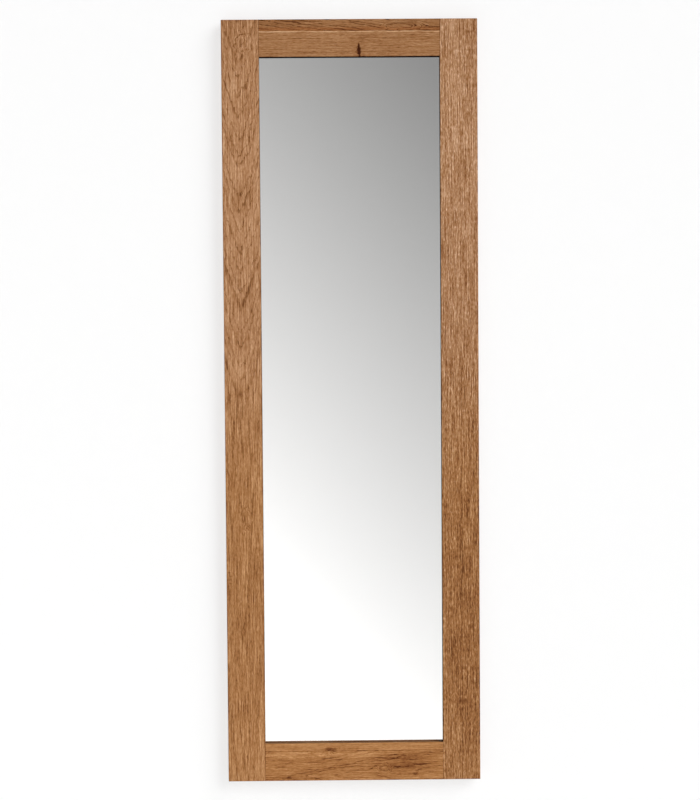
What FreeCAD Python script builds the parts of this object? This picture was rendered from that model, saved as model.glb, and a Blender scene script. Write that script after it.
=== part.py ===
import FreeCAD, Part
import math
import os
import Sketcher

# Framed full-length wall mirror. Row frame: +X to the right seen from the front, +Y towards the wall,
# +Z up. The wall is the plane y = 0 and the two hanger rings turn about the line z = 0.

# Driving dimensions in millimetres
SIZES = {
    # Oak frame
    "overall_width": 600.0,
    "overall_height": 1800.0,
    "frame_thickness": 25.0,
    "stile_width": 88.0,
    "top_rail_width": 87.0,
    "bottom_rail_width": 90.0,
    "outer_edge_radius": 1.5,
    "inner_edge_radius": 0.5,
    # Rebate steps, measured from the front and from the opening
    "lip_depth": 13.0,
    "glass_cover": 8.0,
    "glass_clearance": 1.5,
    "screw_ledge": 12.0,
    "board_clearance": 1.0,
    # Mortise and tenon
    "tenon_thickness": 8.0,
    "tenon_setback": 8.0,
    "tenon_length": 50.0,
    "tenon_outer_shoulder": 15.0,
    "tenon_inner_shoulder": 12.0,
    "mortise_end_gap": 1.0,
    # Mirror plate and what holds it
    "glass_thickness": 4.0,
    "glass_arris": 0.5,
    "coating_thickness": 0.2,
    "foam_thickness": 2.0,
    "foam_width": 7.0,
    "block_length": 50.0,
    "board_thickness": 3.0,
    # Countersunk screws of the backing board
    "board_screw_head_radius": 2.8,
    "board_screw_shank_radius": 1.4,
    "board_screw_length": 12.0,
    "board_screw_point": 3.0,
    "board_screw_end_inset": 60.0,
    "screws_per_stile": 6,
    "screws_per_rail": 2,
    "screw_fit_gap": 0.1,
    # Ring hangers
    "hanger_drop": 250.0,
    "strap_metal": 1.2,
    "strap_width": 18.0,
    "strap_length": 68.0,
    "strap_end_radius": 7.0,
    "strap_bend_radius": 1.5,
    "strap_first_screw": 30.0,
    "strap_screw_pitch": 15.0,
    "screws_per_strap": 3,
    "ring_wire_radius": 1.75,
    "ring_width": 27.0,
    "ring_corner_radius": 3.0,
    "ring_leg": 4.5,
    "ring_eye_gap": 0.15,
    "ring_rest_gap": 0.2,
    # Screws of the hangers
    "hanger_screw_head_radius": 3.4,
    "hanger_screw_shank_radius": 1.75,
    "hanger_screw_length": 16.0,
    "hanger_screw_point": 4.0,
    # Rubber bumpers against the wall
    "bumper_radius": 7.0,
    "bumper_height": 6.5,
    "bumper_edge_radius": 4.0,
    "bumper_inset": 20.0,
    # One overrun serves every through cut
    "overrun": 1.0,
}

# Places along a side, as shares of that side from its middle
BLOCK_SHARE = 0.25
SPACER_SHARE = 0.3
FULL_TURN = 360.0
COUNTERSINK_ANGLE = 90.0

doc = FreeCAD.newDocument("framed_mirror")
sheet = doc.addObject("Spreadsheet::Sheet", "Sizes")


class Size:
    # A number together with the spreadsheet formula that it comes from
    def __init__(self, value, formula):
        self.value = value
        self.formula = formula

    def __add__(self, other):
        return Size(self.value + other.value, f"({self.formula} + {other.formula})")

    def __sub__(self, other):
        return Size(self.value - other.value, f"({self.formula} - {other.formula})")

    def __mul__(self, share):
        return Size(self.value * share, f"({self.formula} * {share!r})")

    def __truediv__(self, share):
        return Size(self.value / share, f"({self.formula} / {share!r})")

    def __neg__(self):
        return Size(-self.value, f"(0 - {self.formula})")


ZERO = Size(0.0, "0")


def fill_sheet():
    for row, (name, number) in enumerate(SIZES.items(), start=1):
        sheet.set(f"A{row}", name)
        sheet.set(f"B{row}", str(number))
        sheet.setAlias(f"B{row}", name)
    doc.recompute()


def size(name):
    return Size(float(sheet.get(name)), f"Sizes.{name}")


def count(name):
    return int(round(float(sheet.get(name))))


fill_sheet()

# Frame sizes that follow from the driving ones
frame_thickness = size("frame_thickness")
stile_width = size("stile_width")
lip_depth = size("lip_depth")
glass_cover = size("glass_cover")
glass_rebate = glass_cover + size("glass_clearance")
board_rebate = glass_rebate + size("screw_ledge")
coating_front = lip_depth + size("glass_thickness")
foam_front = coating_front + size("coating_thickness")
board_seat = foam_front + size("foam_thickness")
board_cover = board_rebate - size("board_clearance")
opening_width = size("overall_width") - stile_width * 2
opening_height = size("overall_height") - size("top_rail_width") - size("bottom_rail_width")
glass_width = opening_width + glass_cover * 2
glass_height = opening_height + glass_cover * 2
board_width = opening_width + board_cover * 2
board_height = opening_height + board_cover * 2
tenon_back = size("tenon_setback") + size("tenon_thickness")

# Places in the row frame
frame_back = -size("bumper_height")
frame_front = frame_back - frame_thickness
frame_top = size("hanger_drop")
frame_bottom = frame_top - size("overall_height")
frame_side = size("overall_width") / 2
opening_bottom = frame_bottom + size("bottom_rail_width")
opening_middle = opening_bottom + opening_height / 2

# Hanger sizes that follow
strap_thickness = size("strap_metal") * 2
eye_radius = size("ring_wire_radius") + size("ring_eye_gap")
eye_outer_radius = eye_radius + size("strap_metal")
hanger_side = frame_side - (stile_width - board_rebate) / 2
pivot_depth = frame_back + eye_outer_radius
ring_height = size("ring_corner_radius") + size("ring_leg") + size("ring_width") / 2


# General helpers
def bind(feature, path, length):
    feature.setExpression(path, length.formula)


def new_body(label, x, y, z):
    body = doc.addObject("PartDesign::Body", label)
    body.Label = label
    bind(body, "Placement.Base.x", x)
    bind(body, "Placement.Base.y", y)
    bind(body, "Placement.Base.z", z)
    return body


def new_sketch(body, name, role, offset=ZERO):
    sketch = body.newObject("Sketcher::SketchObject", name)
    plane = next(part for part in body.Origin.OriginFeatures if part.Role == role)
    sketch.AttachmentSupport = (plane, "")
    sketch.MapMode = "FlatFace"
    bind(sketch, "AttachmentOffset.Base.z", offset)
    return sketch


def pin_point(sketch, edge, end, x, y):
    for kind, axis, length in (("DistanceX", -2, x), ("DistanceY", -1, y)):
        if length is ZERO:
            sketch.addConstraint(Sketcher.Constraint("PointOnObject", edge, end, axis))
            continue
        row = sketch.addConstraint(Sketcher.Constraint(kind, -1, 1, edge, end, length.value))
        bind(sketch, f"Constraints[{row}]", length)


def draw_polygon(sketch, points):
    first = sketch.GeometryCount
    corners = [FreeCAD.Vector(x.value, y.value, 0) for x, y in points]
    for start, end in zip(corners, corners[1:] + corners[:1]):
        sketch.addGeometry(Part.LineSegment(start, end), False)
    for index, (x, y) in enumerate(points):
        before = first + (index - 1) % len(points)
        sketch.addConstraint(Sketcher.Constraint("Coincident", before, 2, first + index, 1))
        pin_point(sketch, first + index, 1, x, y)


def draw_rectangle(sketch, left, right, bottom, top):
    draw_polygon(sketch, [(left, bottom), (right, bottom), (right, top), (left, top)])


def draw_circle(sketch, x, y, radius):
    middle = FreeCAD.Vector(x.value, y.value, 0)
    edge = sketch.addGeometry(Part.Circle(middle, FreeCAD.Vector(0, 0, 1), radius.value), False)
    pin_point(sketch, edge, 3, x, y)
    row = sketch.addConstraint(Sketcher.Constraint("Radius", edge, radius.value))
    bind(sketch, f"Constraints[{row}]", radius)


def add_pad(body, sketch, length, reverse=False, middle=False):
    pad = body.newObject("PartDesign::Pad", f"{sketch.Name}_pad")
    pad.Profile = sketch
    pad.Reversed = reverse
    pad.Midplane = middle
    bind(pad, "Length", length)
    doc.recompute()
    return pad


def cut_pocket(body, sketch, length, reverse=False, middle=False):
    volume = body.Shape.Volume
    pocket = body.newObject("PartDesign::Pocket", f"{sketch.Name}_pocket")
    pocket.Profile = sketch
    pocket.Reversed = reverse
    pocket.Midplane = middle
    bind(pocket, "Length", length)
    doc.recompute()
    if body.Shape.Volume >= volume:
        raise RuntimeError(f"{pocket.Name} cuts nothing")
    return pocket


def cut_countersinks(body, sketch, radius, head_radius, length):
    volume = body.Shape.Volume
    hole = body.newObject("PartDesign::Hole", f"{sketch.Name}_hole")
    hole.Profile = sketch
    hole.Reversed = True
    hole.DepthType = "Dimension"
    hole.DrillPoint = "Flat"
    hole.HoleCutType = "Countersink"
    hole.HoleCutCustomValues = True
    hole.HoleCutCountersinkAngle = COUNTERSINK_ANGLE
    bind(hole, "Diameter", radius * 2)
    bind(hole, "HoleCutDiameter", head_radius * 2)
    bind(hole, "Depth", length)
    doc.recompute()
    if body.Shape.Volume >= volume:
        raise RuntimeError(f"{hole.Name} cuts nothing")
    return hole


def dress_edges(body, kind, name, radius, picks):
    # picks holds a test that is true for each wanted straight edge, given its ends
    base = body.Tip
    names = []
    for index, edge in enumerate(base.Shape.Edges, start=1):
        start, end = edge.Vertexes[0].Point, edge.Vertexes[-1].Point
        if near(edge.Length, start.distanceToPoint(end)) and picks(start, end):
            names.append(f"Edge{index}")
    dressing = body.newObject(f"PartDesign::{kind}", name)
    dressing.Base = (base, names)
    bind(dressing, "Radius" if kind == "Fillet" else "Size", radius)
    doc.recompute()
    return dressing


def near(length, place):
    return math.isclose(length, place, abs_tol=0.001)


def both_at(start, end, axis, place):
    return near(getattr(start, axis), place.value) and near(getattr(end, axis), place.value)


def even_places(first, last, number):
    return [first + (last - first) * (index / (number - 1)) for index in range(number)]


# Screw places of the backing board, in the row's X and Z
def stile_screw_places(side):
    across = (opening_width / 2 + glass_rebate + size("screw_ledge") / 2) * side
    reach = board_height / 2 - size("board_screw_end_inset")
    heights = even_places(opening_middle - reach, opening_middle + reach, count("screws_per_stile"))
    return [(across, height) for height in heights]


def rail_screw_places(side):
    height = opening_middle + (opening_height / 2 + glass_rebate + size("screw_ledge") / 2) * side
    reach = board_width / 2 - size("board_screw_end_inset")
    return [(across, height) for across in even_places(-reach, reach, count("screws_per_rail"))]


def board_screw_places():
    return [place for side in (-1, 1) for place in stile_screw_places(side) + rail_screw_places(side)]


def hanger_screw_places():
    first = -size("strap_first_screw")
    return [first - size("strap_screw_pitch") * index for index in range(count("screws_per_strap"))]


def drill_pilots(body, name, places, depth, radius, length):
    # Blind holes from a face that looks towards the wall
    sketch = new_sketch(body, name, "XZ_Plane", -depth)
    for x, z in places:
        draw_circle(sketch, x, z, radius)
    cut_pocket(body, sketch, length, reverse=True)


def drill_board_pilots(body, name, places, middle, base):
    local = [(x - middle, z - base) for x, z in places]
    radius = size("board_screw_shank_radius") + size("screw_fit_gap")
    length = size("board_screw_length") - size("board_thickness") + size("overrun")
    drill_pilots(body, name, local, board_seat, radius, length)


# Stiles: the upright members run the full height and carry the mortises.
# Each has its own X from the outer edge inwards, Y from the front and Z from the bottom.
def make_stile(label, side):
    body = new_body(label, frame_side * side, frame_front, frame_bottom)
    inward = -side
    profile = new_sketch(body, f"{label}_profile", "XY_Plane")
    steps = [
        (ZERO, ZERO),
        (stile_width, ZERO),
        (stile_width, lip_depth),
        (stile_width - glass_rebate, lip_depth),
        (stile_width - glass_rebate, board_seat),
        (stile_width - board_rebate, board_seat),
        (stile_width - board_rebate, frame_thickness),
        (ZERO, frame_thickness),
    ]
    draw_polygon(profile, [(x if x is ZERO else x * inward, y) for x, y in steps])
    add_pad(body, profile, size("overall_height"))
    ease_stile(body, label, inward)
    cut_mortises(body, label, inward)
    drill_board_pilots(body, f"{label}_pilots", stile_screw_places(side), frame_side * side, frame_bottom)
    drill_hanger_pilots(body, label, side)
    return body


def ease_stile(body, label, inward):
    faces = (ZERO, frame_thickness)
    ends = (ZERO, size("overall_height"))

    def on_outside(start, end):
        at_side = both_at(start, end, "x", ZERO)
        at_face = any(both_at(start, end, "y", face) for face in faces)
        at_end = any(both_at(start, end, "z", place) for place in ends)
        return at_side and (at_face or at_end) or at_face and at_end

    def on_opening(start, end):
        return both_at(start, end, "x", stile_width * inward) and both_at(start, end, "y", ZERO)

    dress_edges(body, "Fillet", f"{label}_outer_easing", size("outer_edge_radius"), on_outside)
    dress_edges(body, "Fillet", f"{label}_inner_easing", size("inner_edge_radius"), on_opening)


def cut_mortises(body, label, inward):
    sketch = new_sketch(body, f"{label}_mortises", "YZ_Plane", stile_width * inward)
    outer = size("tenon_outer_shoulder")
    inner = size("tenon_inner_shoulder")
    top = size("overall_height")
    setback = size("tenon_setback")
    draw_rectangle(sketch, setback, tenon_back, outer, size("bottom_rail_width") - inner)
    draw_rectangle(sketch, setback, tenon_back, top - size("top_rail_width") + inner, top - outer)
    length = size("tenon_length") + size("mortise_end_gap")
    cut_pocket(body, sketch, length, reverse=inward < 0)


def drill_hanger_pilots(body, label, side):
    across = (hanger_side - frame_side) * side
    places = [(across, height - frame_bottom) for height in hanger_screw_places()]
    radius = size("hanger_screw_shank_radius") + size("screw_fit_gap")
    length = size("hanger_screw_length") - strap_thickness + size("overrun")
    drill_pilots(body, f"{label}_hanger_pilots", places, frame_thickness, radius, length)


# Rails: long-and-short shoulders fill the stepped rebates of the stiles, and a tenon enters each mortise.
# Each has its own X from the middle, Y from the front and Z from the outer edge inwards.
def make_rail(label, side):
    outer_edge = frame_top if side > 0 else frame_bottom
    width = size("top_rail_width") if side > 0 else size("bottom_rail_width")
    inward = -side
    body = new_body(label, ZERO, frame_front, outer_edge)
    layers = [
        ("lip", ZERO, lip_depth, ZERO, ZERO, width),
        ("glass_step", lip_depth, board_seat, glass_rebate, ZERO, width - glass_rebate),
        ("board_step", board_seat, frame_thickness, board_rebate, ZERO, width - board_rebate),
        ("tenons", size("tenon_setback"), tenon_back, size("tenon_length"),
         size("tenon_outer_shoulder"), width - size("tenon_inner_shoulder")),
    ]
    for name, front, back, overhang, low, high in layers:
        sketch = new_sketch(body, f"{label}_{name}", "XZ_Plane", -front)
        reach = opening_width / 2 + overhang
        draw_rectangle(sketch, -reach, reach, low if low is ZERO else low * inward, high * inward)
        add_pad(body, sketch, back - front, reverse=True)
    ease_rail(body, label, width * inward)
    places = rail_screw_places(side)
    drill_board_pilots(body, f"{label}_pilots", places, ZERO, outer_edge)
    return body


def ease_rail(body, label, inner_edge):
    faces = (ZERO, frame_thickness)

    def on_outside(start, end):
        return both_at(start, end, "z", ZERO) and any(both_at(start, end, "y", face) for face in faces)

    def on_opening(start, end):
        return both_at(start, end, "z", inner_edge) and both_at(start, end, "y", ZERO)

    dress_edges(body, "Fillet", f"{label}_outer_easing", size("outer_edge_radius"), on_outside)
    dress_edges(body, "Fillet", f"{label}_inner_easing", size("inner_edge_radius"), on_opening)


# Plates: each is centred on the opening, with Y from its own front
def make_plate(label, depth, width, height, thickness):
    body = new_body(label, ZERO, frame_front + depth, opening_middle)
    sketch = new_sketch(body, f"{label}_outline", "XZ_Plane")
    draw_rectangle(sketch, -width / 2, width / 2, -height / 2, height / 2)
    add_pad(body, sketch, thickness, reverse=True)
    return body


def make_glass():
    body = make_plate("mirror_glass", lip_depth, glass_width, glass_height, size("glass_thickness"))

    def on_rim(start, end):
        return both_at(start, end, "y", ZERO) or both_at(start, end, "y", size("glass_thickness"))

    dress_edges(body, "Chamfer", "mirror_glass_arris", size("glass_arris"), on_rim)
    return body


def make_coating():
    inset = size("glass_arris") * 2
    width = glass_width - inset
    height = glass_height - inset
    return make_plate("silver_coating", coating_front, width, height, size("coating_thickness"))


def make_board():
    body = make_plate("backing_board", board_seat, board_width, board_height, size("board_thickness"))
    sketch = new_sketch(body, "backing_board_holes", "XZ_Plane", -size("board_thickness"))
    radius = size("board_screw_shank_radius") + size("screw_fit_gap")
    for x, z in board_screw_places():
        draw_circle(sketch, x, z - opening_middle, radius)
    head_radius = size("board_screw_head_radius") + size("screw_fit_gap")
    cut_countersinks(body, sketch, radius, head_radius, size("board_thickness") + size("overrun"))
    return body


# Foam strips lie along the edge of the mirror plate and are pressed by the backing board
def make_foam(label, left, right, bottom, top):
    body = new_body(label, ZERO, frame_front + foam_front, opening_middle)
    sketch = new_sketch(body, f"{label}_outline", "XZ_Plane")
    draw_rectangle(sketch, left, right, bottom, top)
    add_pad(body, sketch, size("foam_thickness"), reverse=True)
    return body


def make_foam_strips():
    across = glass_width / 2 - size("glass_arris")
    along = glass_height / 2 - size("glass_arris")
    inner_across = across - size("foam_width")
    inner_along = along - size("foam_width")
    return [
        make_foam("foam_strip_left", -across, -inner_across, -along, along),
        make_foam("foam_strip_right", inner_across, across, -along, along),
        make_foam("foam_strip_bottom", -inner_across, inner_across, -along, -inner_along),
        make_foam("foam_strip_top", -inner_across, inner_across, inner_along, along),
    ]


# Small blocks fill the clearance round the mirror plate: two carry it and four centre it
def make_block(label, x, z, width, height):
    body = new_body(label, x, frame_front + lip_depth, z)
    sketch = new_sketch(body, f"{label}_outline", "XZ_Plane")
    draw_rectangle(sketch, -width / 2, width / 2, -height / 2, height / 2)
    add_pad(body, sketch, size("glass_thickness"), reverse=True)
    return body


def make_blocks():
    gap = size("glass_clearance")
    under = opening_middle - glass_height / 2 - gap / 2
    beside = glass_width / 2 + gap / 2
    blocks = []
    for word, side in (("left", -1), ("right", 1)):
        x = glass_width * (BLOCK_SHARE * side)
        blocks.append(make_block(f"setting_block_{word}", x, under, size("block_length"), gap))
        for level, direction in (("lower", -1), ("upper", 1)):
            z = opening_middle + glass_height * (SPACER_SHARE * direction)
            label = f"side_spacer_{level}_{word}"
            blocks.append(make_block(label, beside * side, z, gap, size("block_length")))
    return blocks


# Countersunk screws: the head's face is at the body's own origin and the point looks away from the wall
def make_screw(kind):
    body = new_body(f"{kind}_master", ZERO, ZERO, ZERO)
    head = size(f"{kind}_head_radius")
    shank = size(f"{kind}_shank_radius")
    length = size(f"{kind}_length")
    half = new_sketch(body, f"{kind}_half_section", "XY_Plane")
    draw_polygon(half, [
        (ZERO, ZERO),
        (head, ZERO),
        (shank, shank - head),
        (shank, size(f"{kind}_point") - length),
        (ZERO, -length),
    ])
    turned = body.newObject("PartDesign::Revolution", f"{kind}_turned")
    turned.Profile = half
    turned.ReferenceAxis = (half, ["V_Axis"])
    turned.Angle = FULL_TURN
    doc.recompute()
    return body


def make_screw_group(label, master, depth, places):
    group = doc.addObject("Part::Feature", label)
    group.Label = label
    screws = []
    for x, z in places:
        screw = master.Shape.copy()
        screw.translate(FreeCAD.Vector(x.value, 0, z.value))
        screws.append(screw)
    group.Shape = Part.makeCompound(screws)
    group.Placement = FreeCAD.Placement(FreeCAD.Vector(0, depth.value, 0), FreeCAD.Rotation())
    return group


# Hanger strap: folded steel, flat on the back of a stile, with an eye round the ring's bar.
# Its own origin is the pivot.
def make_strap(label, side):
    body = new_body(label, hanger_side * side, pivot_depth, ZERO)
    slab = new_sketch(body, f"{label}_slab", "YZ_Plane")
    face = strap_thickness - eye_outer_radius
    draw_rectangle(slab, -eye_outer_radius, face, -size("strap_length"), ZERO)
    add_pad(body, slab, size("strap_width"), middle=True)
    eye = new_sketch(body, f"{label}_eye", "YZ_Plane")
    draw_circle(eye, ZERO, ZERO, eye_outer_radius)
    add_pad(body, eye, size("strap_width"), middle=True)
    shape_strap(body, label, face)
    return body


def shape_strap(body, label, face):
    def in_fold(start, end):
        return both_at(start, end, "y", face) and start.z > -eye_outer_radius.value and near(start.z, end.z)

    def at_corner(start, end):
        sides = near(abs(start.x), size("strap_width").value / 2) and near(start.x, end.x)
        return sides and both_at(start, end, "z", -size("strap_length"))

    dress_edges(body, "Fillet", f"{label}_fold", size("strap_bend_radius"), in_fold)
    dress_edges(body, "Fillet", f"{label}_end", size("strap_end_radius"), at_corner)
    bore = new_sketch(body, f"{label}_bore", "YZ_Plane")
    draw_circle(bore, ZERO, ZERO, eye_radius)
    cut_pocket(body, bore, size("strap_width") + size("overrun"), middle=True)
    holes = new_sketch(body, f"{label}_screw_holes", "XZ_Plane", -face)
    radius = size("hanger_screw_shank_radius") + size("screw_fit_gap")
    for height in hanger_screw_places():
        draw_circle(holes, ZERO, height, radius)
    head_radius = size("hanger_screw_head_radius") + size("screw_fit_gap")
    cut_countersinks(body, holes, radius, head_radius, strap_thickness + size("overrun"))


# Hanger ring: a D of round wire. The bar turns in the eye and the bow hangs down on the strap.
def make_ring(label, side):
    body = new_body(label, hanger_side * side, pivot_depth, ZERO)
    body.Placement.Rotation = FreeCAD.Rotation(FreeCAD.Vector(1, 0, 0), math.degrees(ring_tilt()))
    lift = (strap_thickness + size("ring_wire_radius") + size("ring_rest_gap") - eye_outer_radius).formula
    body.setExpression("Placement.Rotation.Angle", f"asin({lift} / {ring_height.formula})")
    path = new_sketch(body, f"{label}_path", "XZ_Plane")
    draw_ring_path(path)
    wire = new_sketch(body, f"{label}_wire", "YZ_Plane")
    draw_circle(wire, ZERO, ZERO, size("ring_wire_radius"))
    sweep = body.newObject("PartDesign::AdditivePipe", f"{label}_sweep")
    sweep.Profile = wire
    sweep.Spine = path
    sweep.Transition = "Transformed"
    doc.recompute()
    report_ring(body)
    return body


def ring_tilt():
    lift = strap_thickness + size("ring_wire_radius") + size("ring_rest_gap") - eye_outer_radius
    return math.asin(lift.value / ring_height.value)


def draw_ring_path(sketch):
    corner = size("ring_corner_radius")
    leg = size("ring_leg")
    half = size("ring_width") / 2
    bar = half - corner
    up = FreeCAD.Vector(0, 0, 1)

    def point(x, z):
        return FreeCAD.Vector(x, z, 0)

    def arc(x, z, radius, start, end):
        circle = Part.Circle(point(x, z), up, radius)
        return Part.ArcOfCircle(circle, math.radians(start), math.radians(end))

    low = -corner.value - leg.value
    edges = [
        Part.LineSegment(point(-bar.value, 0), point(bar.value, 0)),
        arc(bar.value, -corner.value, corner.value, 0, 90),
        Part.LineSegment(point(half.value, -corner.value), point(half.value, low)),
        arc(0, low, half.value, 180, 360),
        Part.LineSegment(point(-half.value, low), point(-half.value, -corner.value)),
        arc(-bar.value, -corner.value, corner.value, 90, 180),
    ]
    sketch.addGeometry(edges, False)
    pin_point(sketch, 0, 1, -bar, ZERO)
    pin_point(sketch, 0, 2, bar, ZERO)
    joints = [(0, 2, 1, 2), (1, 1, 2, 1), (2, 2, 3, 2), (3, 1, 4, 1), (4, 2, 5, 2), (5, 1, 0, 1)]
    for first, first_end, second, second_end in joints:
        sketch.addConstraint(Sketcher.Constraint("Tangent", first, first_end, second, second_end))
    sketch.addConstraint(Sketcher.Constraint("Vertical", 2))
    sketch.addConstraint(Sketcher.Constraint("Vertical", 4))
    sketch.addConstraint(Sketcher.Constraint("Equal", 1, 5))
    row = sketch.addConstraint(Sketcher.Constraint("Radius", 1, corner.value))
    bind(sketch, f"Constraints[{row}]", corner)
    row = sketch.addConstraint(Sketcher.Constraint("Distance", 2, leg.value))
    bind(sketch, f"Constraints[{row}]", leg)


def report_ring(body):
    half = size("ring_width").value / 2
    corner = size("ring_corner_radius").value
    straight = 2 * (half - corner) + 2 * size("ring_leg").value
    length = straight + math.pi * (half + corner)
    section = math.pi * size("ring_wire_radius").value ** 2
    print(f"{body.Label}: volume {body.Shape.Volume:.1f}, section times length {section * length:.1f}")


# Wall bumpers: round rubber feet with a rounded edge and a flat end on the wall
def make_bumper(label, side, end):
    edge = frame_top - size("bumper_inset") if end > 0 else frame_bottom + size("bumper_inset")
    body = new_body(label, (frame_side - size("bumper_inset")) * side, ZERO, edge)
    sketch = new_sketch(body, f"{label}_outline", "XZ_Plane")
    draw_circle(sketch, ZERO, ZERO, size("bumper_radius"))
    add_pad(body, sketch, size("bumper_height"))
    base = body.Tip
    rim = next(index for index, edge in enumerate(base.Shape.Edges, start=1)
               if len(edge.Vertexes) == 1 and near(edge.Vertexes[0].Point.y, 0))
    rounding = body.newObject("PartDesign::Fillet", f"{label}_rounding")
    rounding.Base = (base, [f"Edge{rim}"])
    bind(rounding, "Radius", size("bumper_edge_radius"))
    doc.recompute()
    return body


def make_hangers():
    screw = make_screw("hanger_screw")
    face = frame_back + strap_thickness
    parts = []
    for word, side in (("left", -1), ("right", 1)):
        parts.append(make_strap(f"hanger_strap_{word}", side))
        parts.append(make_ring(f"hanger_ring_{word}", side))
        places = [(hanger_side * side, height) for height in hanger_screw_places()]
        parts.append(make_screw_group(f"hanger_screws_{word}", screw, face, places))
    return parts


def make_bumpers():
    corners = [(level, end, word, side) for level, end in (("upper", 1), ("lower", -1))
               for word, side in (("left", -1), ("right", 1))]
    return [make_bumper(f"wall_bumper_{level}_{word}", side, end) for level, end, word, side in corners]


def build():
    frame = [
        make_stile("left_stile", -1),
        make_stile("right_stile", 1),
        make_rail("top_rail", 1),
        make_rail("bottom_rail", -1),
    ]
    filling = [make_glass(), make_coating(), make_board()] + make_foam_strips() + make_blocks()
    board_back = frame_front + board_seat + size("board_thickness")
    screw = make_screw("board_screw")
    screws = make_screw_group("backing_board_screws", screw, board_back, board_screw_places())
    return frame + filling + [screws] + make_hangers() + make_bumpers()


def check_document():
    for item in doc.Objects:
        if "Invalid" in item.State or "Error" in item.State:
            raise RuntimeError(f"{item.Label} failed: {item.State}")


def export(parts):
    os.makedirs("parts", exist_ok=True)
    for part in parts:
        if part.Shape.isNull() or not part.Shape.isValid():
            raise RuntimeError(f"{part.Label} has no valid shape")
        part.Shape.exportStep(f"parts/{part.Label}.step")
        print(f"{part.Label}: {len(part.Shape.Solids)} solid, {part.Shape.Volume:.1f} mm3")


parts = build()
doc.recompute()
check_document()
export(parts)
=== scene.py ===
import math
import bpy
from mathutils import Matrix, Vector


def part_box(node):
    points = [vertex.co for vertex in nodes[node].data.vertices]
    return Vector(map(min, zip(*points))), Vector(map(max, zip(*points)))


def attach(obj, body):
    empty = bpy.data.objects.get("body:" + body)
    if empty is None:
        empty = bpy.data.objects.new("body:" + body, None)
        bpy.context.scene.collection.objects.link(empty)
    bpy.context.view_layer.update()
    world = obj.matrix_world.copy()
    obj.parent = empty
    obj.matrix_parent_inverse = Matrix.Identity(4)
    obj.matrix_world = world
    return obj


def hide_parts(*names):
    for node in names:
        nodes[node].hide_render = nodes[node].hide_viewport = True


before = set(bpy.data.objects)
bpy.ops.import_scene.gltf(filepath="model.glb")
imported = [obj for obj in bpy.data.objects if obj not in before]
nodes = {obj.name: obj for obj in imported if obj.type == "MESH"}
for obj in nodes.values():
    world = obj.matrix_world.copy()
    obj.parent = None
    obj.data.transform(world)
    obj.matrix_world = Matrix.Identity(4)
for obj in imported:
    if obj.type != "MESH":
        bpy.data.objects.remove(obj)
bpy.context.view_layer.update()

print("frame loaded:", len(nodes), "nodes")

# places that everything below is measured from, in metres
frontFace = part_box("left_stile")[0].y
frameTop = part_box("left_stile")[1].z
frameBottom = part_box("left_stile")[0].z
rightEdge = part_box("right_stile")[1].x
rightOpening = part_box("right_stile")[0].x
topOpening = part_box("top_rail")[0].z
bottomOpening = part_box("bottom_rail")[1].z


# small helpers for node trees
def paint(red, green, blue):
    # 8-bit screen colour to linear
    parts = [channel / 255 for channel in (red, green, blue)]
    linear = [part / 12.92 if part < 0.04045 else ((part + 0.055) / 1.055) ** 2.4 for part in parts]
    return (*linear, 1.0)


def addNode(tree, kind, **settings):
    made = tree.nodes.new(kind)
    for name, value in settings.items():
        setattr(made, name, value)
    return made


def plug(tree, value, socket):
    if isinstance(value, bpy.types.NodeSocket):
        tree.links.new(value, socket)
    else:
        socket.default_value = value


def mathOn(tree, operation, first, second=0.0, third=0.0):
    made = addNode(tree, "ShaderNodeMath", operation=operation)
    for value, socket in zip((first, second, third), made.inputs):
        plug(tree, value, socket)
    return made.outputs[0]


def distanceOn(tree, value, place):
    return mathOn(tree, "ABSOLUTE", mathOn(tree, "SUBTRACT", value, place))


def stretchOn(tree, vector, stretch):
    made = addNode(tree, "ShaderNodeVectorMath", operation="MULTIPLY")
    plug(tree, vector, made.inputs[0])
    plug(tree, stretch, made.inputs[1])
    return made.outputs[0]


def noiseOn(tree, vector, cells, detail=2.0, roughness=0.5):
    # noise of 0 to 1, with so many cells to the metre along each axis
    made = addNode(tree, "ShaderNodeTexNoise")
    plug(tree, stretchOn(tree, vector, cells), made.inputs["Vector"])
    made.inputs["Scale"].default_value = 1.0
    made.inputs["Detail"].default_value = detail
    made.inputs["Roughness"].default_value = roughness
    return made.outputs["Fac"]


def swingOn(tree, vector, cells, detail=2.0, roughness=0.5):
    # the same noise, swinging about 0
    return mathOn(tree, "SUBTRACT", noiseOn(tree, vector, cells, detail, roughness), 0.5)


def rangeOn(tree, value, low, high, newLow=0.0, newHigh=1.0, smooth=False):
    made = addNode(tree, "ShaderNodeMapRange", clamp=True)
    made.interpolation_type = "SMOOTHSTEP" if smooth else "LINEAR"
    for given, socket in zip((value, low, high, newLow, newHigh), made.inputs):
        plug(tree, given, socket)
    return made.outputs[0]


def rampOn(tree, factor, stops):
    made = addNode(tree, "ShaderNodeValToRGB")
    plug(tree, factor, made.inputs[0])
    ramp = made.color_ramp
    while len(ramp.elements) < len(stops):
        ramp.elements.new(0.5)
    for element, (place, colour) in zip(ramp.elements, stops):
        element.position = place
        element.color = colour
    return made.outputs[0]


def curveOn(tree, value, stops):
    # a smooth curve through the given points
    made = addNode(tree, "ShaderNodeFloatCurve")
    curve = made.mapping.curves[0]
    made.mapping.use_clip = False
    while len(curve.points) < len(stops):
        curve.points.new(0.5, 0.0)
    for point, stop in zip(curve.points, stops):
        point.location = stop
    made.mapping.update()
    plug(tree, value, made.inputs["Value"])
    return made.outputs[0]


def mixOn(tree, factor, first, second, blend="MIX"):
    made = addNode(tree, "ShaderNodeMix", data_type="RGBA", blend_type=blend)
    plug(tree, factor, made.inputs["Factor"])
    plug(tree, first, made.inputs[6])
    plug(tree, second, made.inputs[7])
    return made.outputs[2]


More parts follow.
